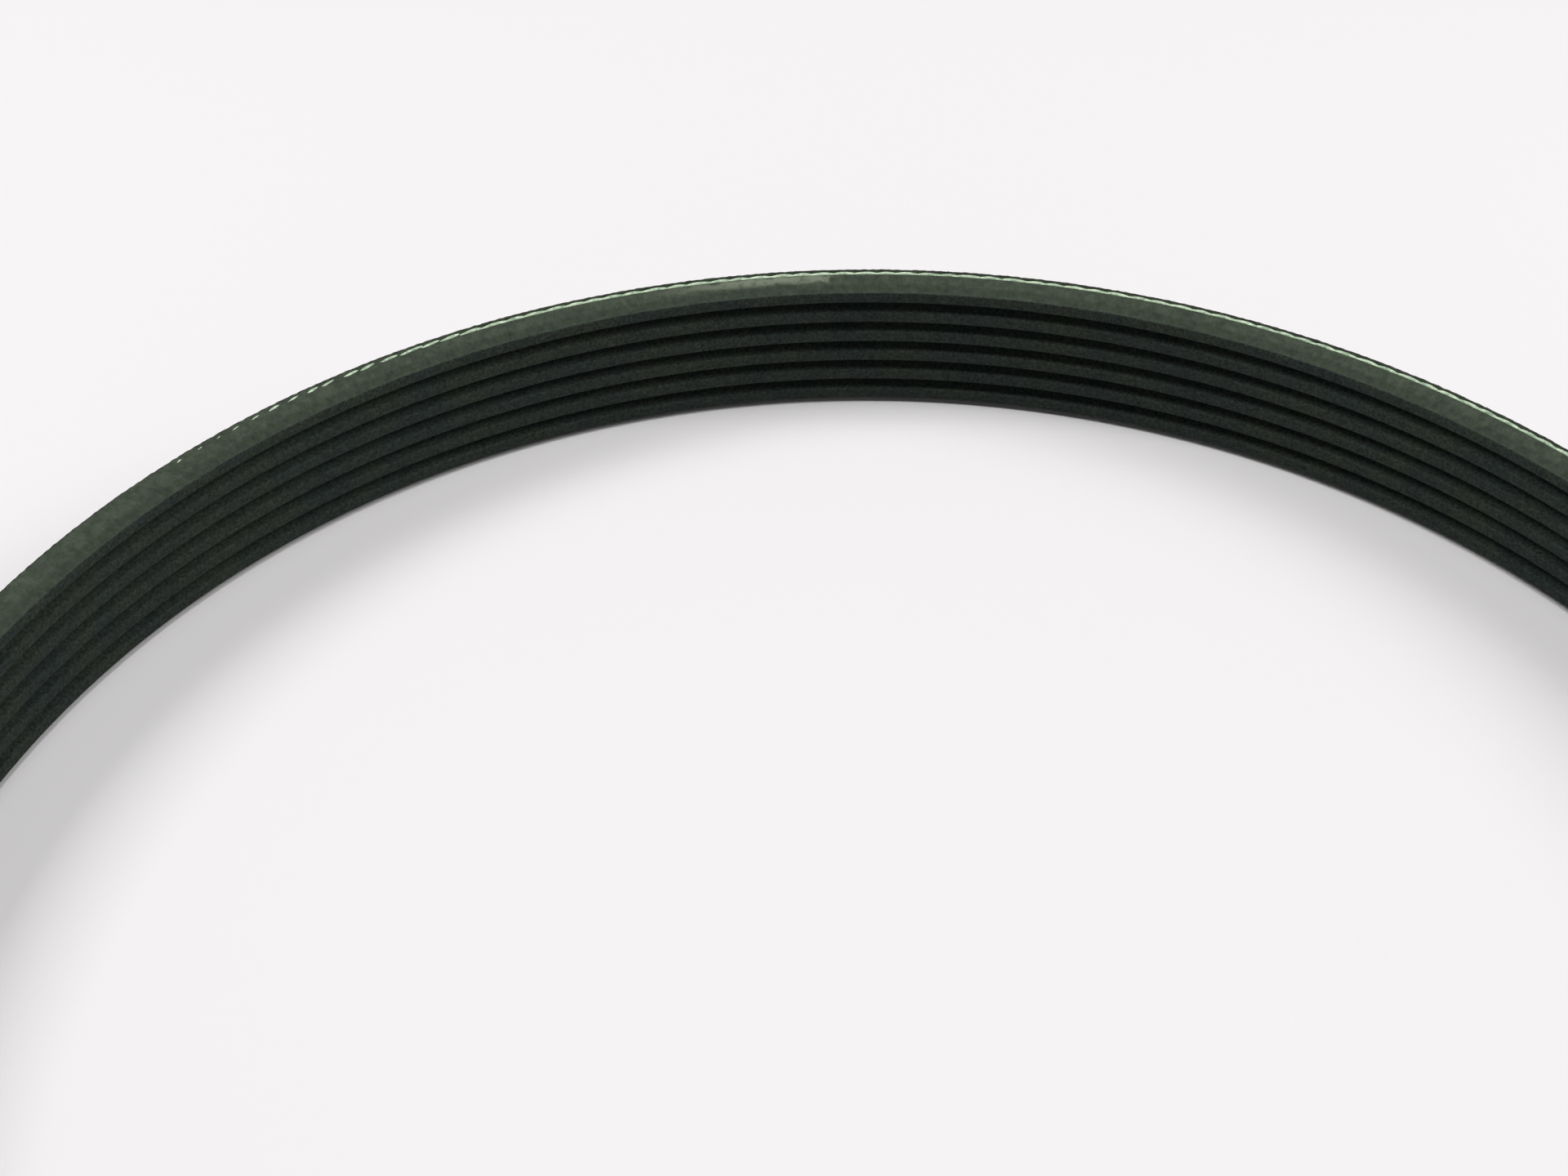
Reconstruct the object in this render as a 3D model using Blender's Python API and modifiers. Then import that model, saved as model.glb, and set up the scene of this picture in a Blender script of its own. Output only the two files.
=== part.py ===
"""Multi-ribbed fan belt: an endless rubber band with V ribs round its inner face.

The belt is one vulcanised piece, so it is one solid. It stands on one of its two cut edges. The origin is
the centre of the loop, on the surface that the belt stands on, and +Z is the axis that the loop turns about.
Lengths are in metres.

The section is drawn once, in a plane through the axis, and turned round the axis. Depths are measured
inwards from the smooth back of the belt, and heights are measured up from the lower cut edge.
"""

import math

import bpy

MM = 0.001

# The loop. Such a belt is sized by its effective length, which is measured where the crests of its pulleys
# touch it. The cord that carries the load lies a little outside that line.
EFFECTIVE_LENGTH = 780 * MM
CORD_OUTSIDE_EFFECTIVE_LINE = 1.5 * MM
CORD_DEPTH = 0.95 * MM

# The section. Pitch and flank angle are those of the common automotive rib section.
RIB_COUNT = 6
RIB_PITCH = 3.56 * MM
RIB_ANGLE = math.radians(40)
BELT_THICKNESS = 4.85 * MM
RIB_DEPTH = 2.15 * MM
ROOT_RADIUS = 0.25 * MM
TIP_RADIUS = 0.2 * MM

# How finely curves are cut into flats.
LOOP_STEPS = 80
ARC_STEPS = 2
WELD_DISTANCE = 0.001 * MM
SHARP_EDGE_ANGLE = math.radians(38)

RUBBER_COLOUR = (0.017, 0.019, 0.017, 1.0)
RUBBER_ROUGHNESS = 0.75

BELT_WIDTH = RIB_COUNT * RIB_PITCH
HALF_ANGLE = RIB_ANGLE / 2
FLANK_NORMAL = math.pi / 2 - HALF_ANGLE
BACK_RADIUS = EFFECTIVE_LENGTH / (2 * math.pi) + CORD_OUTSIDE_EFFECTIVE_LINE + CORD_DEPTH
ROOT_DEPTH = BELT_THICKNESS - RIB_DEPTH


def clear_scene():
    """Removes every object that the startup file holds."""
    for obj in list(bpy.data.objects):
        bpy.data.objects.remove(obj, do_unlink=True)


def arc(centre_depth, centre_height, radius, start, end):
    """Points of an arc as (depth, height). Angles are from the inward direction, positive upwards."""
    points = []
    for step in range(ARC_STEPS + 1):
        angle = start + (end - start) * step / ARC_STEPS
        depth = centre_depth + radius * math.cos(angle)
        height = centre_height + radius * math.sin(angle)
        points.append((depth, height))
    return points


def rib_outline(middle_height):
    """One rib from its lower flank, over its rounded tip, to its upper flank, as (depth, height) points."""
    # The two flanks of a groove would meet at this depth if its root were sharp.
    sharp_root_depth = ROOT_DEPTH + ROOT_RADIUS - ROOT_RADIUS / math.sin(HALF_ANGLE)
    half_tip = RIB_PITCH / 2 - (BELT_THICKNESS - sharp_root_depth) * math.tan(HALF_ANGLE)
    corner_depth = BELT_THICKNESS - TIP_RADIUS
    corner_height = half_tip - TIP_RADIUS * math.tan(FLANK_NORMAL / 2)
    lower = arc(corner_depth, middle_height - corner_height, TIP_RADIUS, -FLANK_NORMAL, 0)
    upper = arc(corner_depth, middle_height + corner_height, TIP_RADIUS, 0, FLANK_NORMAL)
    return lower + upper


def root_outline(middle_height, below=True, above=True):
    """The rounded root of one groove, from below its middle to above it. A cut edge keeps only one half."""
    start = math.pi + FLANK_NORMAL if below else math.pi
    end = math.pi - FLANK_NORMAL if above else math.pi
    return arc(ROOT_DEPTH + ROOT_RADIUS, middle_height, ROOT_RADIUS, start, end)


def belt_outline():
    """The whole section as a closed loop of (radius, height) points, running down the back first."""
    ribbed_face = root_outline(0, below=False)
    for rib in range(RIB_COUNT):
        if rib > 0:
            ribbed_face += root_outline(rib * RIB_PITCH)
        ribbed_face += rib_outline((rib + 0.5) * RIB_PITCH)
    ribbed_face += root_outline(BELT_WIDTH, above=False)
    back = [(0, BELT_WIDTH), (0, 0)]
    return [(BACK_RADIUS - depth, height) for depth, height in back + ribbed_face]


def turned_mesh(name, outline):
    """A closed outline of (radius, height) points, turned once round Z, as a mesh."""
    profile = bpy.data.meshes.new(name + "_profile")
    count = len(outline)
    edges = [(i, (i + 1) % count) for i in range(count)]
    profile.from_pydata([(radius, 0, height) for radius, height in outline], edges, [])
    guide = bpy.data.objects.new(name + "_guide", profile)
    bpy.context.scene.collection.objects.link(guide)

    screw = guide.modifiers.new("turn", "SCREW")
    screw.axis = "Z"
    screw.angle = 2 * math.pi
    screw.steps = LOOP_STEPS
    screw.render_steps = LOOP_STEPS
    screw.use_merge_vertices = True
    screw.merge_threshold = WELD_DISTANCE

    graph = bpy.context.evaluated_depsgraph_get()
    mesh = bpy.data.meshes.new_from_object(guide.evaluated_get(graph))
    mesh.name = name
    bpy.data.objects.remove(guide, do_unlink=True)
    bpy.data.meshes.remove(profile)
    mesh.shade_smooth()
    mesh.set_sharp_from_angle(angle=SHARP_EDGE_ANGLE)
    return mesh


def rubber_material():
    """Matt black vulcanised rubber."""
    material = bpy.data.materials.new("black_rubber")
    material.use_nodes = True
    shader = material.node_tree.nodes["Principled BSDF"]
    shader.inputs["Base Color"].default_value = RUBBER_COLOUR
    shader.inputs["Roughness"].default_value = RUBBER_ROUGHNESS
    shader.inputs["Metallic"].default_value = 0.0
    return material


def make_belt(collection):
    """The belt: smooth back, two flat cut edges, and the ribs round its inner face."""
    mesh = turned_mesh("ribbed_belt", belt_outline())
    mesh.materials.append(rubber_material())
    belt = bpy.data.objects.new("ribbed_belt", mesh)
    collection.objects.link(belt)
    return belt


def main():
    clear_scene()
    collection = bpy.data.collections.new("fan_belt")
    bpy.context.scene.collection.children.link(collection)
    make_belt(collection)


main()
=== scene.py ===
# %% [markdown]
# A ribbed fan belt, standing on its cut edge in a ring, seen from above and inside.
#
# The real belt is moulded as a wide sleeve and then sliced into belts. So it has a smooth back with a thin
# cover, sliced edges where the load cord shows, and V ribs on the inside. This lesson rebuilds each of those
# as its own mesh, and gives each the finish that the real material has.

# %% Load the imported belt
import math

import bmesh
import bpy
from mathutils import Euler, Matrix, Vector, noise


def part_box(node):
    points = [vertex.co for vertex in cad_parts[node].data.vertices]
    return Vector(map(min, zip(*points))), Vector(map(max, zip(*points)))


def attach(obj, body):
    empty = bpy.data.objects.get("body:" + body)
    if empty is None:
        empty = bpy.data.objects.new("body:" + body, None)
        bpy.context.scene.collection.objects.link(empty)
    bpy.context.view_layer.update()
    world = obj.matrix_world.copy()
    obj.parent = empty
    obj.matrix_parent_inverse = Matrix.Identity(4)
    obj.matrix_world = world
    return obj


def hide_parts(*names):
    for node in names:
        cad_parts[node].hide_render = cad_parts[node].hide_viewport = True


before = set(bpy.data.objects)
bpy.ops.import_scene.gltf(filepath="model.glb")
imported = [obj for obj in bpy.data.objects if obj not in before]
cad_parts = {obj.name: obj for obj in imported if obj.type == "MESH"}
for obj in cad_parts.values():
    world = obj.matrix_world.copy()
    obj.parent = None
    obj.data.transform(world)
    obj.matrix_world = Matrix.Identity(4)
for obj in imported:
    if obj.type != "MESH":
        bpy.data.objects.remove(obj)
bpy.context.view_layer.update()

# %% [markdown]
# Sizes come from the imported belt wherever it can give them. The back of the belt is its widest circle, and
# its width is its height as it stands. The rest are the sizes of the common automotive rib section, in
# millimetres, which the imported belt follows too.

# %% Sizes of the belt
MM = 0.001
low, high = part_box("ribbed_belt")
BACK_RADIUS = (high[0] - low[0]) / 2
WIDTH = high[2] - low[2]

RIB_COUNT = 6
PITCH = WIDTH / RIB_COUNT
HALF_ANGLE = math.radians(20)
THICKNESS = 4.85 * MM
RIB_DEPTH = 2.15 * MM
ROOT_RADIUS = 0.25 * MM
TIP_RADIUS = 0.2 * MM
ROOT_DEPTH = THICKNESS - RIB_DEPTH
COVER_THICKNESS = 0.32 * MM
CORD_DEPTH = 0.84 * MM
CORD_RADIUS = BACK_RADIUS - CORD_DEPTH
print("back radius mm:", round(BACK_RADIUS / MM, 2), "width mm:", round(WIDTH / MM, 2))

# %% [markdown]
# The camera stands inside the ring and looks down at its far side. A camera's place can be guessed by eye
# or solved from the picture. Here it was solved: the rib lines give one place and one lens that puts all of
# them where they are. The three angles turn the camera about the vertical, down, and about its own axis.

# %% Camera
IMAGE_WIDTH = 1920
FOCAL_PIXELS = 3034.5
CAMERA_PLACE = Vector((0, -173.84, 238.02)) * MM
CAMERA_YAW = -0.079
CAMERA_PITCH = 0.754
CAMERA_ROLL = -0.006
SENSOR_WIDTH = 36

camera_data = bpy.data.cameras.new("camera")
camera_data.sensor_width = SENSOR_WIDTH
camera_data.lens = FOCAL_PIXELS / IMAGE_WIDTH * SENSOR_WIDTH
camera_data.clip_start = 10 * MM
camera = bpy.data.objects.new("camera", camera_data)
aim = Matrix.Rotation(-CAMERA_YAW, 4, "Z") @ Matrix.Rotation(math.pi / 2 - CAMERA_PITCH, 4, "X")
camera.matrix_world = Matrix.Translation(CAMERA_PLACE) @ aim @ Matrix.Rotation(-CAMERA_ROLL, 4, "Z")
bpy.context.scene.collection.objects.link(camera)
bpy.context.scene.camera = camera
print("lens mm:", round(camera_data.lens, 2))

# %% [markdown]
# Materials are made of nodes. One function turns a colour picked in sRGB hex into the linear values that a
# shader wants, and one adds a node with its settings and its links, so that a material reads as a list of
# steps.

# %% Colour and node helpers
def linear(hex_colour):
    """An sRGB colour such as "#A3B29C" as linear red, green, blue and alpha."""
    channels = [int(hex_colour[i:i + 2], 16) / 255 for i in (1, 3, 5)]
    return [c / 12.92 if c <= 0.04045 else ((c + 0.055) / 1.055) ** 2.4 for c in channels] + [1]


def add_node(material, kind, settings=None, **inputs):
    """Adds a node, sets its properties, and fills or links its inputs. Underscores stand for spaces, and a
    name that ends in a number picks the input of that number."""
    node = material.node_tree.nodes.new(kind)
    for name, value in (settings or {}).items():
        setattr(node, name, value)
    for name, value in inputs.items():
        key = int(name[2:]) if name.startswith("in") and name[2:].isdigit() else name.replace("_", " ")
        if isinstance(value, bpy.types.NodeSocket):
            material.node_tree.links.new(value, node.inputs[key])
        else:
            node.inputs[key].default_value = value
    return node


def new_material(name):
    """An empty node material with its output and its main shader."""
    material = bpy.data.materials.new(name)
    material.use_nodes = True
    return material, material.node_tree.nodes["Principled BSDF"]


def connect(material, output, shader, name):
    """Links an output to one input of the main shader."""
    material.node_tree.links.new(output, shader.inputs[name])


def describe(material):
    """Prints how many nodes the material came to."""
    print("material", material.name, "has", len(material.node_tree.nodes), "nodes")


print("middle grey in linear light:", [round(value, 3) for value in linear("#808080")])

# %% [markdown]
# The setting is a plain white table in a pale room. How long a shadow is, and how soft its end is, tells how
# high the light stands and how wide it is. The shadows inside the ring end about one belt width from the
# wall on the left and on the right, and close to the wall at the far side. So there are two soft panels, left
# and right, about forty-five degrees up, and one overhead. Close to the wall the shadow is flat and not very
# dark, so each side panel gives about a third of the table's light. The room's walls are only bright low
# down, which lights the ribs and hardly the table. The standard view keeps the white table white.

# %% Floor and light
FLOOR_SIZE = 2.0
# Each panel: the way to it round the axis and up in degrees, its distance and width in metres, its watts.
PANELS = {
    "panel_left": (173, 47.5, 1.6, 0.62, 12.3),
    "panel_right": (7, 43, 1.6, 0.85, 13.7),
    "panel_overhead": (270, 88, 1.8, 0.6, 11.4),
}
WALL_LIGHT = "#F2F0F2"
CEILING_LIGHT = "#4C4C4D"
WALL_TOP = 0.15
CEILING_START = 0.35

bpy.context.scene.view_settings.view_transform = "Standard"

floor_mesh = bpy.data.meshes.new("floor")
bm = bmesh.new()
bmesh.ops.create_grid(bm, x_segments=1, y_segments=1, size=FLOOR_SIZE / 2)
bm.to_mesh(floor_mesh)
bm.free()
floor = bpy.data.objects.new("floor", floor_mesh)
bpy.context.scene.collection.objects.link(floor)
floor_paint, shader = new_material("white_table")
shader.inputs["Base Color"].default_value = linear("#E9E7E8")
shader.inputs["Roughness"].default_value = 0.9
shader.inputs["Specular IOR Level"].default_value = 0.1
floor_mesh.materials.append(floor_paint)

world = bpy.data.worlds.new("pale_room")
world.use_nodes = True
direction = add_node(world, "ShaderNodeTexCoord").outputs["Generated"]
upward = add_node(world, "ShaderNodeSeparateXYZ", Vector=direction).outputs["Z"]
room = add_node(world, "ShaderNodeValToRGB", Fac=upward)
room.color_ramp.elements[0].position = WALL_TOP
room.color_ramp.elements[0].color = linear(WALL_LIGHT)
room.color_ramp.elements[1].position = CEILING_START
room.color_ramp.elements[1].color = linear(CEILING_LIGHT)
world.node_tree.links.new(room.outputs["Color"], world.node_tree.nodes["Background"].inputs["Color"])
bpy.context.scene.world = world

for name, (heading, height, distance, width, power) in PANELS.items():
    panel_data = bpy.data.lights.new(name, "AREA")
    panel_data.size = width
    panel_data.energy = power
    panel = bpy.data.objects.new(name, panel_data)
    toward = Euler((0, -math.radians(height), math.radians(heading))).to_matrix() @ Vector((1, 0, 0))
    panel.location = toward * distance
    panel.rotation_euler = toward.to_track_quat("Z", "Y").to_euler()
    bpy.context.scene.collection.objects.link(panel)
    print(name, "stands at", [round(value, 2) for value in panel.location])

# %% [markdown]
# The ribbed rubber is one section turned about the belt's axis. The section could be drawn point by point
# with every curve in it, but it is simpler to draw it sharp and let bevel round it, as a mould maker would
# run a small cutter along each corner. Corners at the groove roots get one radius and the tips another. Each
# cut edge has extra points across the place of the cord, which are pressed into a trough later.

# %% Draw the sharp section
EDGE_INSET = 0.02 * MM
BODY_START = 0.8 * COVER_THICKNESS
TROUGH_HALF_WIDTH = 0.5 * MM
TROUGH_SHARES = (-1, -0.75, -0.4, 0, 0.4, 0.75, 1)


def section_point(bm, depth, height):
    """A vertex at a depth in from the back and a height above the lower edge, in the plane y = 0."""
    return bm.verts.new((BACK_RADIUS - depth, 0, height))


def draw_section(bm):
    """The sharp section of the ribbed rubber. Returns the corners at groove roots and at rib tips."""
    sharp_root = ROOT_DEPTH + ROOT_RADIUS - ROOT_RADIUS / math.sin(HALF_ANGLE)
    half_tip = PITCH / 2 - (THICKNESS - sharp_root) * math.tan(HALF_ANGLE)
    trough = [CORD_DEPTH + TROUGH_HALF_WIDTH * share for share in TROUGH_SHARES]
    edge = [BODY_START] + trough + [sharp_root]

    roots, tips, ribbed = [], [], []
    lower_edge = [section_point(bm, depth, EDGE_INSET) for depth in edge]
    for rib in range(RIB_COUNT):
        middle = (rib + 0.5) * PITCH
        tips.append(section_point(bm, THICKNESS, middle - half_tip))
        tips.append(section_point(bm, THICKNESS, middle + half_tip))
        ribbed += tips[-2:]
        if rib < RIB_COUNT - 1:
            roots.append(section_point(bm, sharp_root, middle + PITCH / 2))
            ribbed.append(roots[-1])
    upper_edge = [section_point(bm, depth, WIDTH - EDGE_INSET) for depth in reversed(edge)]
    loop = lower_edge + ribbed + upper_edge
    for first, second in zip(loop, loop[1:] + loop[:1]):
        bm.edges.new((first, second))
    return roots, tips


print("cord trough mm:", round(2 * TROUGH_HALF_WIDTH / MM, 2), "wide, at depth", round(CORD_DEPTH / MM, 2))

# %% [markdown]
# The cord is not equally bare all round. It runs in a long helix and comes out of the cut little by little,
# so the trough that it lies in is deep on the right and fades out on the left. What shows of the cord depends
# on that depth: whole twisted lobes where the trough is deep, and only their crests where it is shallow.
# Noise makes the depth uneven.

# %% How deep the trough is
FULL_EXPOSURE_ANGLE = math.radians(112)
NO_EXPOSURE_ANGLE = math.radians(156)
DEEPEST_TROUGH = 0.40 * MM
TROUGH_GRAIN = 2.2 * MM
UNEVEN_DEPTH = 0.35
STRAY_DEPTH = 0.05


def exposure(angle):
    """How far the cord is laid bare at this angle round the ring, from 0 to 1. It falls off on the left and
    comes back slowly round the near side."""
    span = NO_EXPOSURE_ANGLE - FULL_EXPOSURE_ANGLE
    turn = (angle - FULL_EXPOSURE_ANGLE) % (2 * math.pi)
    if turn < span:
        share = 1 - turn / span
    else:
        share = min(1.0, (turn - span) / (math.pi - span))
    return share * share


def trough_depth(angle, place):
    """The depth of the trough below the cut edge. The noise gives some depth where the cord is hidden too."""
    rough = noise.noise(place / TROUGH_GRAIN)
    share = exposure(angle) * (1 + UNEVEN_DEPTH * rough) + STRAY_DEPTH * rough
    return DEEPEST_TROUGH * max(0.0, share)


for degrees in (90, 130, 150):
    print("cord bare at", degrees, "degrees:", round(exposure(math.radians(degrees)), 2))

# %% [markdown]
# Turning the section is a spin. The belt has to look round even close up, so the ring is cut into many steps.
# The corners are bevelled first, while they are single points: a bevel of a point takes how far the round
# reaches along each side, which follows from its radius and the angle there. The outer flanks of the two end
# ribs were sliced with the edges, so their faces get the edge's finish. That lighter finish is partly painted
# light on them, standing in for the light from above that these up-facing flanks catch.

# %% Turn the section and press the troughs
BODY_STEPS = 640
CORNER_STEPS = 5
WELD_DISTANCE = 0.001 * MM
SHARP_DEGREES = 40
NEAR_EDGE = 0.1 * MM
TROUGH_FLOOR_SHARE = 0.8
TIP_CLEARANCE = 0.03 * MM
FACES_AWAY = 0.3


def spin_round(bm, steps):
    """Turns everything in the mesh once round the belt's axis and closes the ring."""
    geometry = bm.verts[:] + bm.edges[:]
    bmesh.ops.spin(bm, geom=geometry, cent=(0, 0, 0), axis=(0, 0, 1), angle=2 * math.pi,
                   steps=steps, use_merge=True, use_duplicate=False)
    bmesh.ops.remove_doubles(bm, verts=bm.verts[:], dist=WELD_DISTANCE)
    bmesh.ops.recalc_face_normals(bm, faces=bm.faces[:])


def finish_mesh(bm, name):
    """Makes a smooth-shaded object of the mesh, with its sharp corners kept, and prints its size."""
    mesh = bpy.data.meshes.new(name)
    bm.to_mesh(mesh)
    bm.free()
    mesh.shade_smooth()
    mesh.set_sharp_from_angle(angle=math.radians(SHARP_DEGREES))
    piece = bpy.data.objects.new(name, mesh)
    bpy.context.scene.collection.objects.link(piece)
    print(name, "triangles:", sum(len(face.vertices) - 2 for face in mesh.polygons))
    return piece


bm = bmesh.new()
roots, tips = draw_section(bm)
root_setback = ROOT_RADIUS / math.tan(HALF_ANGLE)
tip_setback = TIP_RADIUS * math.tan((math.pi / 2 - HALF_ANGLE) / 2)
for corners, setback in ((roots, root_setback), (tips, tip_setback)):
    bmesh.ops.bevel(bm, geom=corners, offset=setback, offset_type="OFFSET", affect="VERTICES",
                    segments=CORNER_STEPS, profile=0.5, material=-1)
print("points in the section:", len(bm.verts))
spin_round(bm, BODY_STEPS)
for vert in bm.verts:
    depth = BACK_RADIUS - vert.co.xy.length
    on_edge = min(vert.co.z, WIDTH - vert.co.z) < NEAR_EDGE
    if on_edge and abs(depth - CORD_DEPTH) < TROUGH_HALF_WIDTH * TROUGH_FLOOR_SHARE:
        angle = math.atan2(vert.co.y, vert.co.x)
        inward = 1 if vert.co.z < WIDTH / 2 else -1
        vert.co.z += inward * trough_depth(angle, vert.co)

# Painted light: the up-facing outer flanks of the end ribs take the lighter edge material, partly standing in
# for the light from above.
end_flank = (THICKNESS - ROOT_DEPTH) * math.tan(HALF_ANGLE) + NEAR_EDGE
for face in bm.faces:
    centre = face.calc_center_median()
    depth = BACK_RADIUS - centre.xy.length
    near_edge = min(centre.z, WIDTH - centre.z) < end_flank
    sliced = near_edge and depth < THICKNESS - TIP_CLEARANCE and abs(face.normal.z) > FACES_AWAY
    face.material_index = 1 if sliced else 0
rubber = finish_mesh(bm, "ribbed_rubber")
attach(rubber, "root")
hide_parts("ribbed_belt")

# %% [markdown]
# The load cord is polyester yarn: two plies twisted round each other, dipped in adhesive that dries mint
# green. A texture of slanted dashes would look flat, so each ply is a real curve that winds round the cord's
# centre line. The number of turns is rounded so that the ends meet.

# %% Twist the cords
PLY_COUNT = 2
PLY_RADIUS = 0.34 * MM
PLY_UNEVENNESS = 0.08
TWIST_RADIUS = 0.17 * MM
LOBE_LENGTH = 3.1 * MM
POINTS_PER_TURN = 12
CORD_TURNS = round(2 * math.pi * CORD_RADIUS / (LOBE_LENGTH * PLY_COUNT))
WANDER_LENGTH = 5 * MM
CORD_WANDER = 0.05 * MM
TWIST_WANDER = 0.9
WANDER_SHIFT = Vector((7, 0, 0))
PLY_GRAIN = 1.3 * MM


def ply_points(centre_height, start_turn):
    """Points of one ply, as a helix bent round the ring."""
    count = CORD_TURNS * POINTS_PER_TURN
    points = []
    for step in range(count):
        angle = 2 * math.pi * step / count
        twist = 2 * math.pi * (CORD_TURNS * step / count + start_turn)
        middle = Vector((CORD_RADIUS * math.cos(angle), CORD_RADIUS * math.sin(angle), centre_height))
        twist += TWIST_WANDER * noise.noise(middle / WANDER_LENGTH)
        wander = CORD_WANDER * noise.noise(middle / WANDER_LENGTH + WANDER_SHIFT)
        radius = CORD_RADIUS + TWIST_RADIUS * math.cos(twist) + wander
        up = TWIST_RADIUS * math.sin(twist)
        points.append((radius * math.cos(angle), radius * math.sin(angle), centre_height + up))
    return points


def make_cord(name, centre_height):
    """One edge's cord: its plies as round curves, made into one mesh."""
    curve = bpy.data.curves.new(name, "CURVE")
    curve.dimensions = "3D"
    curve.bevel_depth = PLY_RADIUS
    curve.bevel_resolution = 2
    for ply in range(PLY_COUNT):
        points = ply_points(centre_height, ply / PLY_COUNT)
        spline = curve.splines.new("POLY")
        spline.points.add(len(points) - 1)
        for point, place in zip(spline.points, points):
            point.co = (*place, 1)
            point.radius = 1 + PLY_UNEVENNESS * noise.noise(Vector(place) / PLY_GRAIN)
        spline.use_cyclic_u = True
    drawn = bpy.data.objects.new(name + "_path", curve)
    bpy.context.scene.collection.objects.link(drawn)
    mesh = bpy.data.meshes.new_from_object(drawn.evaluated_get(bpy.context.evaluated_depsgraph_get()))
    bpy.data.objects.remove(drawn)
    mesh.shade_smooth()
    cord = bpy.data.objects.new(name, mesh)
    bpy.context.scene.collection.objects.link(cord)
    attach(cord, "root")
    return cord


cord_reach = PLY_RADIUS * (1 + PLY_UNEVENNESS) + TWIST_RADIUS
upper_cord = make_cord("upper_edge_cord", WIDTH - cord_reach)
lower_cord = make_cord("lower_edge_cord", cord_reach)
print("turns of twist round the ring:", CORD_TURNS)

# %% [markdown]
# The back is covered with a thin rubbered fabric. Its edge, sliced with the belt, shows as a thin dark line
# with tiny teeth where the threads end. A ring of many short steps is made by spin, and then its edges and
# its face are pushed in by a thread pattern: only inwards, so the belt keeps its size.

# %% Wrap the back cover
COVER_STEPS = 2000
COVER_ROWS = 8
CORNER_EASE = 0.03 * MM
THREAD_SPACING = 1.25 * MM
THREAD_GRAIN = 0.9 * MM
TOOTH = 0.14 * MM
WEAVE_RELIEF = 0.10 * MM
THREAD_IN_TOOTH = 0.2
THREAD_IN_WEAVE = 0.3

bm = bmesh.new()
outline = []
for row in range(COVER_ROWS + 1):
    at_corner = row in (0, COVER_ROWS)
    outline.append(section_point(bm, CORNER_EASE if at_corner else 0, WIDTH * row / COVER_ROWS))
outline.append(section_point(bm, COVER_THICKNESS, WIDTH))
outline.append(section_point(bm, COVER_THICKNESS, 0))
for first, second in zip(outline, outline[1:] + outline[:1]):
    bm.edges.new((first, second))
spin_round(bm, COVER_STEPS)
for vert in bm.verts:
    along = math.atan2(vert.co.y, vert.co.x) * BACK_RADIUS
    on_back = vert.co.xy.length > BACK_RADIUS - COVER_THICKNESS / 2
    on_edge = min(vert.co.z, WIDTH - vert.co.z) < NEAR_EDGE
    thread = 0.5 + 0.5 * math.sin(2 * math.pi * along / THREAD_SPACING)
    rough = 0.5 + 0.5 * noise.noise(vert.co / THREAD_GRAIN)
    if on_back:
        pushed = WEAVE_RELIEF * (THREAD_IN_WEAVE * thread + (1 - THREAD_IN_WEAVE) * rough)
        vert.co.xy *= 1 - pushed / BACK_RADIUS
    if on_edge:
        inward = 1 if vert.co.z < WIDTH / 2 else -1
        vert.co.z += inward * TOOTH * (THREAD_IN_TOOTH * thread + (1 - THREAD_IN_TOOTH) * rough)
cover = finish_mesh(bm, "back_cover")
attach(cover, "root")

# %% [markdown]
# Rib rubber. It is black chloroprene with short fibres in it, ground to shape, so it is quite matt, with a
# grain of dots lighter and darker than the rest. Little light comes back off it as gloss. The flanks in the
# grooves are painted a little paler than the tips, as painted light that lifts the shade in the grooves; the
# distance from the axis tells them apart. Fine pale lint lies on it here and there: those specks are the
# hearts of the cells of a coarse cell pattern.

# %% Rib rubber
RIB_GRAIN = 0.45 * MM
PATCH_SIZE = 7 * MM
LINT_SPACING = 4.5 * MM
LINT_RADIUS = 0.09 * MM
GROOVE_PAINTED_LIGHT = 1.15
TIP_MARGIN = 0.12 * MM

rib_rubber, shader = new_material("ground_rib_rubber")
place = add_node(rib_rubber, "ShaderNodeTexCoord").outputs["Object"]
grain = add_node(rib_rubber, "ShaderNodeTexNoise", Vector=place, Scale=1 / RIB_GRAIN, Detail=4.0,
                 Roughness=0.7)
patches = add_node(rib_rubber, "ShaderNodeTexNoise", Vector=place, Scale=1 / PATCH_SIZE, Detail=3.0)
tone = add_node(rib_rubber, "ShaderNodeValToRGB", Fac=grain.outputs["Fac"])
tone.color_ramp.elements[0].position = 0.34
tone.color_ramp.elements[0].color = linear("#1B1F1D")
tone.color_ramp.elements[1].position = 0.68
tone.color_ramp.elements[1].color = linear("#383F3A")
hue = add_node(rib_rubber, "ShaderNodeValToRGB", Fac=patches.outputs["Fac"])
hue.color_ramp.elements[0].position = 0.35
hue.color_ramp.elements[0].color = linear("#E6EEF4")
hue.color_ramp.elements[1].position = 0.65
hue.color_ramp.elements[1].color = linear("#FFFFF0")
tint = add_node(rib_rubber, "ShaderNodeMix", {"data_type": "RGBA", "blend_type": "MULTIPLY"},
                in0=1.0, in6=tone.outputs["Color"], in7=hue.outputs["Color"])
flat = add_node(rib_rubber, "ShaderNodeVectorMath", {"operation": "MULTIPLY"}, in0=place, in1=(1, 1, 0))
distance = add_node(rib_rubber, "ShaderNodeVectorMath", {"operation": "LENGTH"}, in0=flat.outputs[0])
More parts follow.
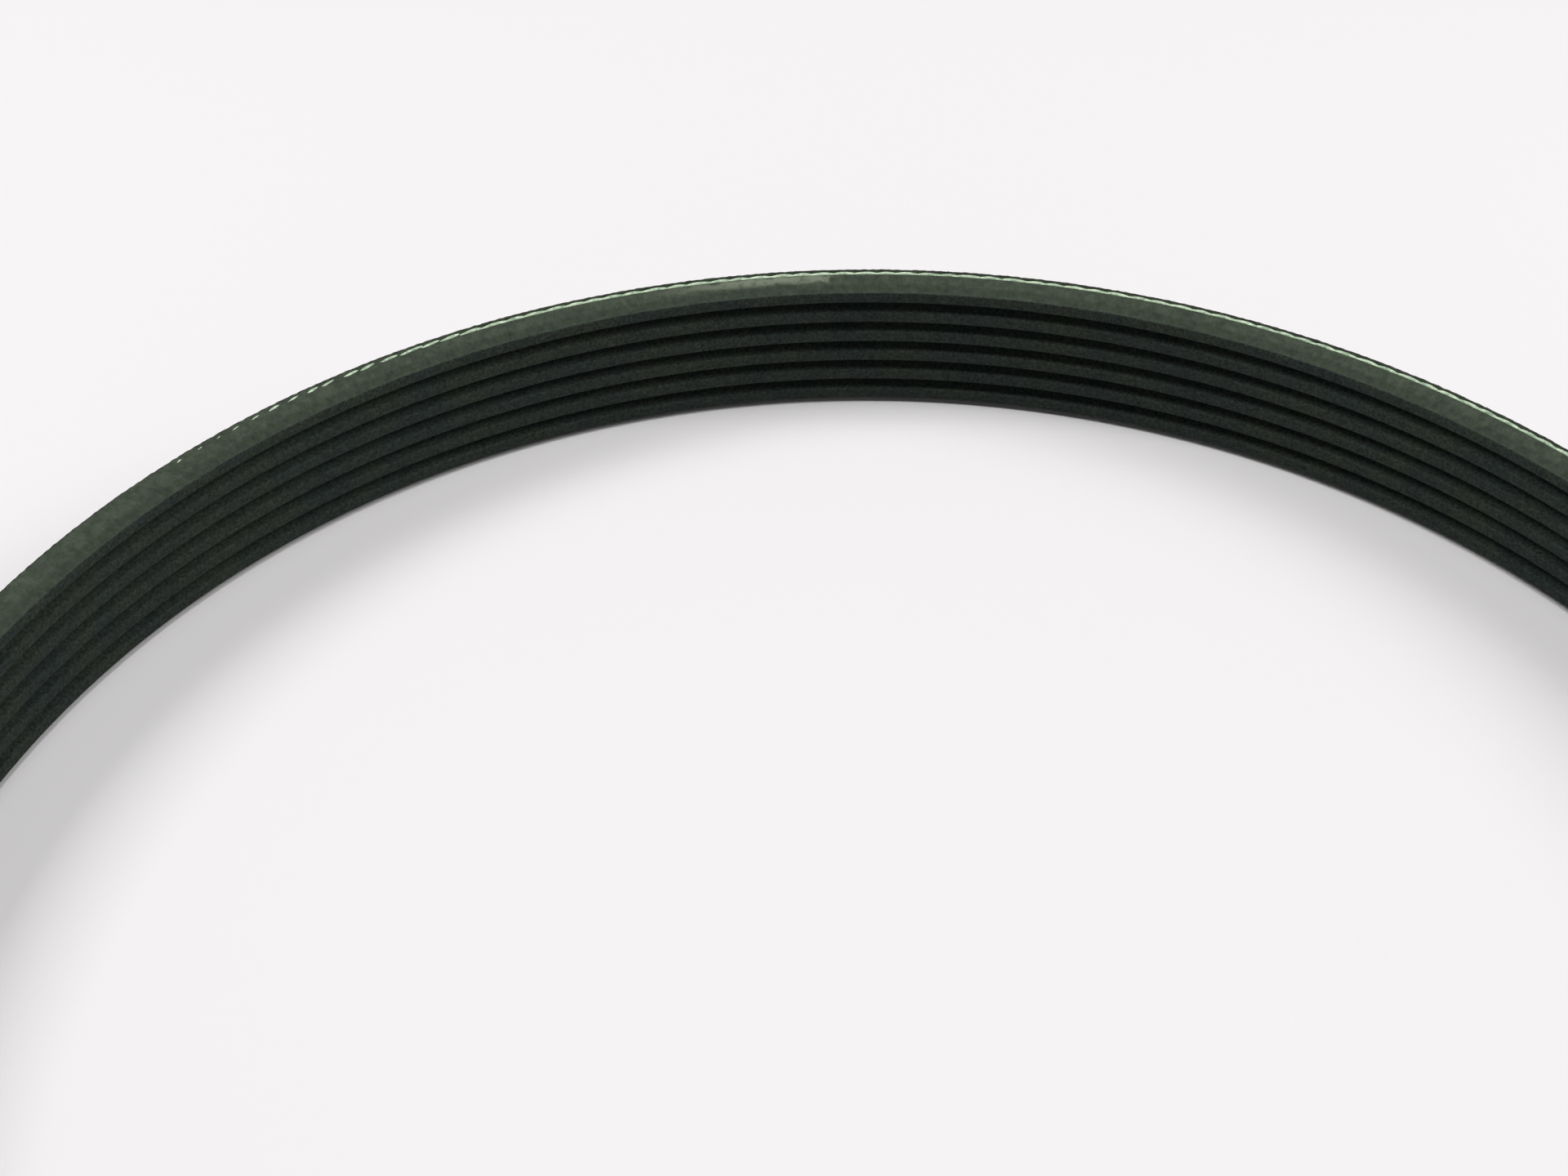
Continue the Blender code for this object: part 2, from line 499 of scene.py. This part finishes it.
# Painted light: everything deeper than the tip margin, flanks and grooves alike, is made paler to lift the
# shade in the grooves.
painted_groove_light = add_node(rib_rubber, "ShaderNodeMapRange", Value=distance.outputs["Value"],
                 From_Min=BACK_RADIUS - THICKNESS, From_Max=BACK_RADIUS - THICKNESS + TIP_MARGIN,
                 To_Min=1.0, To_Max=GROOVE_PAINTED_LIGHT)
lit_in_grooves = add_node(rib_rubber, "ShaderNodeVectorMath", {"operation": "SCALE"}, in0=tint.outputs[2],
                  Scale=painted_groove_light.outputs["Result"])
cells = add_node(rib_rubber, "ShaderNodeTexVoronoi", Vector=place, Scale=1 / LINT_SPACING)
speck = add_node(rib_rubber, "ShaderNodeMapRange", Value=cells.outputs["Distance"],
                 From_Min=LINT_RADIUS / LINT_SPACING, From_Max=0.5 * LINT_RADIUS / LINT_SPACING)
dotted = add_node(rib_rubber, "ShaderNodeMix", {"data_type": "RGBA"}, in0=speck.outputs["Result"],
                  in6=lit_in_grooves.outputs[0], in7=linear("#7C857D"))
bump = add_node(rib_rubber, "ShaderNodeBump", Height=grain.outputs["Fac"], Strength=0.5,
                Distance=0.06 * MM)
connect(rib_rubber, dotted.outputs[2], shader, "Base Color")
connect(rib_rubber, bump.outputs["Normal"], shader, "Normal")
shader.inputs["Roughness"].default_value = 0.85
shader.inputs["Specular IOR Level"].default_value = 0.12
describe(rib_rubber)

# %% [markdown]
# The sliced edge. The knife leaves the same rubber greener, with fine marks across the edge and a cloudy
# bloom.
# Its lighter tone is partly the cut rubber's own and partly painted sheen, the glow an up-facing cut shows
# under a bright room. The marks run straight out from the axis, so the noise behind them reads the direction
# from the axis and hardly the distance. The bloom is in rows too: lighter by the cord, darker towards the end
# rib, and lighter again on its rim. Those rows read the distance from the axis.

# %% Sliced edge
MARK_SPACING = 0.32 * MM
CLOUD_SIZE = 1.3 * MM

edge_rubber, shader = new_material("sliced_edge_rubber")
place = add_node(edge_rubber, "ShaderNodeTexCoord").outputs["Object"]
flat = add_node(edge_rubber, "ShaderNodeVectorMath", {"operation": "MULTIPLY"}, in0=place, in1=(1, 1, 0))
outward = add_node(edge_rubber, "ShaderNodeVectorMath", {"operation": "NORMALIZE"}, in0=flat.outputs[0])
distance = add_node(edge_rubber, "ShaderNodeVectorMath", {"operation": "LENGTH"}, in0=flat.outputs[0])
depth = add_node(edge_rubber, "ShaderNodeMath", {"operation": "SUBTRACT"}, in0=BACK_RADIUS,
                 in1=distance.outputs["Value"])
drift = add_node(edge_rubber, "ShaderNodeVectorMath", {"operation": "SCALE"}, in0=place, Scale=0.3)
rim = add_node(edge_rubber, "ShaderNodeVectorMath", {"operation": "SCALE"}, in0=outward.outputs[0],
               Scale=BACK_RADIUS)
across = add_node(edge_rubber, "ShaderNodeVectorMath", {"operation": "ADD"}, in0=rim.outputs[0],
                  in1=drift.outputs[0])
marks = add_node(edge_rubber, "ShaderNodeTexNoise", Vector=across.outputs[0], Scale=1 / MARK_SPACING,
                 Detail=2.0, Roughness=0.6)
clouds = add_node(edge_rubber, "ShaderNodeTexNoise", Vector=place, Scale=1 / CLOUD_SIZE, Detail=5.0,
                  Roughness=0.7)
mixed = add_node(edge_rubber, "ShaderNodeMix", in0=0.75, in2=marks.outputs["Fac"], in3=clouds.outputs["Fac"])
# This tone is lighter than the rib rubber's: partly the cut rubber's own tone, partly painted sheen from the
# bright room above the cut.
tone = add_node(edge_rubber, "ShaderNodeValToRGB", Fac=mixed.outputs[0])
tone.color_ramp.elements[0].position = 0.36
tone.color_ramp.elements[0].color = linear("#2E362D")
tone.color_ramp.elements[1].position = 0.64
tone.color_ramp.elements[1].color = linear("#464F41")

share = add_node(edge_rubber, "ShaderNodeMath", {"operation": "DIVIDE"}, in0=depth.outputs[0], in1=THICKNESS)
rows = add_node(edge_rubber, "ShaderNodeValToRGB", Fac=share.outputs[0])
rows.color_ramp.elements[0].position = 0.62
rows.color_ramp.elements[0].color = linear("#FFFFFF")
rows.color_ramp.elements[1].position = 0.98
rows.color_ramp.elements[1].color = linear("#F0F0F4")
dark_row = rows.color_ramp.elements.new(0.73)
dark_row.color = linear("#E0E2E0")
dark_row_end = rows.color_ramp.elements.new(0.88)
dark_row_end.color = linear("#E2E4E2")
bloom = add_node(edge_rubber, "ShaderNodeMix", {"data_type": "RGBA", "blend_type": "MULTIPLY"},
                 in0=1.0, in6=tone.outputs["Color"], in7=rows.outputs["Color"])
describe(edge_rubber)

# %% [markdown]
# One length of the upper edge was rubbed against something and is paler there. It fades in from the left and
# ends raggedly. Four soft limits multiplied together make its outline, and noise moves their ends and breaks
# up what lies between them.

# %% Scuffed length
SCUFF_START = -46 * MM
SCUFF_FULL = -27 * MM
SCUFF_END = -16.5 * MM
SCUFF_RAGGED = 5 * MM
SCUFF_WAVER = 2 * MM
SCUFF_BY_CORD = (1.2 * MM, 1.8 * MM)
SCUFF_BY_RIB = (3.2 * MM, 2.5 * MM)
BLOT_SIZE = 2.2 * MM
BLOT_LIMITS = (0.28, 0.54)


def limit(value, nothing, full):
    """A factor that rises smoothly from 0 where the value is nothing to 1 where it is full."""
    node = add_node(edge_rubber, "ShaderNodeMapRange", {"interpolation_type": "SMOOTHSTEP"}, Value=value,
                    From_Min=nothing, From_Max=full)
    return node.outputs["Result"]


def times(first, second):
    """The product of two factors."""
    node = add_node(edge_rubber, "ShaderNodeMath", {"operation": "MULTIPLY"}, in0=first, in1=second)
    return node.outputs[0]


axes = add_node(edge_rubber, "ShaderNodeSeparateXYZ", Vector=place)
blots = add_node(edge_rubber, "ShaderNodeTexNoise", Vector=place, Scale=1 / BLOT_SIZE, Detail=5.0,
                 Roughness=0.65)
off_middle = add_node(edge_rubber, "ShaderNodeMath", {"operation": "SUBTRACT"}, in0=blots.outputs["Fac"],
                      in1=0.5)
along = add_node(edge_rubber, "ShaderNodeMath", {"operation": "MULTIPLY_ADD"}, in0=off_middle.outputs[0],
                 in1=SCUFF_RAGGED, in2=axes.outputs["X"])
inward = add_node(edge_rubber, "ShaderNodeMath", {"operation": "MULTIPLY_ADD"}, in0=off_middle.outputs[0],
                  in1=SCUFF_WAVER, in2=depth.outputs[0])
length_limits = times(limit(along.outputs[0], SCUFF_START, SCUFF_FULL),
                      limit(along.outputs[0], SCUFF_END, SCUFF_END - 1 * MM))
width_limits = times(limit(inward.outputs[0], *SCUFF_BY_CORD), limit(inward.outputs[0], *SCUFF_BY_RIB))
upper_far_side = times(limit(axes.outputs["Y"], 0, 1 * MM), limit(axes.outputs["Z"], WIDTH / 2, WIDTH * 0.9))
broken = limit(blots.outputs["Fac"], *BLOT_LIMITS)
scuff = times(times(length_limits, width_limits), times(upper_far_side, broken))
scuffed = add_node(edge_rubber, "ShaderNodeMix", {"data_type": "RGBA"}, in0=scuff, in6=bloom.outputs[2],
                   in7=linear("#6F7767"))
bump = add_node(edge_rubber, "ShaderNodeBump", Height=marks.outputs["Fac"], Strength=0.3, Distance=0.05 * MM)
connect(edge_rubber, scuffed.outputs[2], shader, "Base Color")
connect(edge_rubber, bump.outputs["Normal"], shader, "Normal")
shader.inputs["Roughness"].default_value = 0.8
shader.inputs["Specular IOR Level"].default_value = 0.2
rubber.data.materials.append(rib_rubber)
rubber.data.materials.append(edge_rubber)
describe(edge_rubber)

# %% [markdown]
# The cord's yarn: dipped polyester, pale mint with some threads more teal, and matt. Fine dark fuzz from the
# rubber clings to it here and there.

# %% Cord yarn
yarn, shader = new_material("dipped_polyester_yarn")
place = add_node(yarn, "ShaderNodeTexCoord").outputs["Object"]
threads = add_node(yarn, "ShaderNodeTexNoise", Vector=place, Scale=1 / (0.8 * MM), Detail=4.0, Roughness=0.7)
tone = add_node(yarn, "ShaderNodeValToRGB", Fac=threads.outputs["Fac"])
tone.color_ramp.elements[0].position = 0.34
tone.color_ramp.elements[0].color = linear("#7F9A80")
tone.color_ramp.elements[1].position = 0.62
tone.color_ramp.elements[1].color = linear("#CFE0C4")
bump = add_node(yarn, "ShaderNodeBump", Height=threads.outputs["Fac"], Strength=0.4, Distance=0.05 * MM)
connect(yarn, tone.outputs["Color"], shader, "Base Color")
connect(yarn, bump.outputs["Normal"], shader, "Normal")
shader.inputs["Roughness"].default_value = 0.7
shader.inputs["Specular IOR Level"].default_value = 0.3
for cord in (upper_cord, lower_cord):
    cord.data.materials.append(yarn)
describe(yarn)

# %% [markdown]
# The back cover: fabric soaked in black rubber, with a slightly warm, maroon black.

# %% Back cover
cover_fabric, shader = new_material("rubbered_cover_fabric")
place = add_node(cover_fabric, "ShaderNodeTexCoord").outputs["Object"]
weave = add_node(cover_fabric, "ShaderNodeTexNoise", Vector=place, Scale=1 / (0.6 * MM), Detail=4.0)
tone = add_node(cover_fabric, "ShaderNodeValToRGB", Fac=weave.outputs["Fac"])
tone.color_ramp.elements[0].position = 0.35
tone.color_ramp.elements[0].color = linear("#221918")
tone.color_ramp.elements[1].position = 0.7
tone.color_ramp.elements[1].color = linear("#3E302D")
bump = add_node(cover_fabric, "ShaderNodeBump", Height=weave.outputs["Fac"], Strength=0.5, Distance=0.06 * MM)
connect(cover_fabric, tone.outputs["Color"], shader, "Base Color")
connect(cover_fabric, bump.outputs["Normal"], shader, "Normal")
shader.inputs["Roughness"].default_value = 0.85
shader.inputs["Specular IOR Level"].default_value = 0.2
cover.data.materials.append(cover_fabric)
describe(cover_fabric)
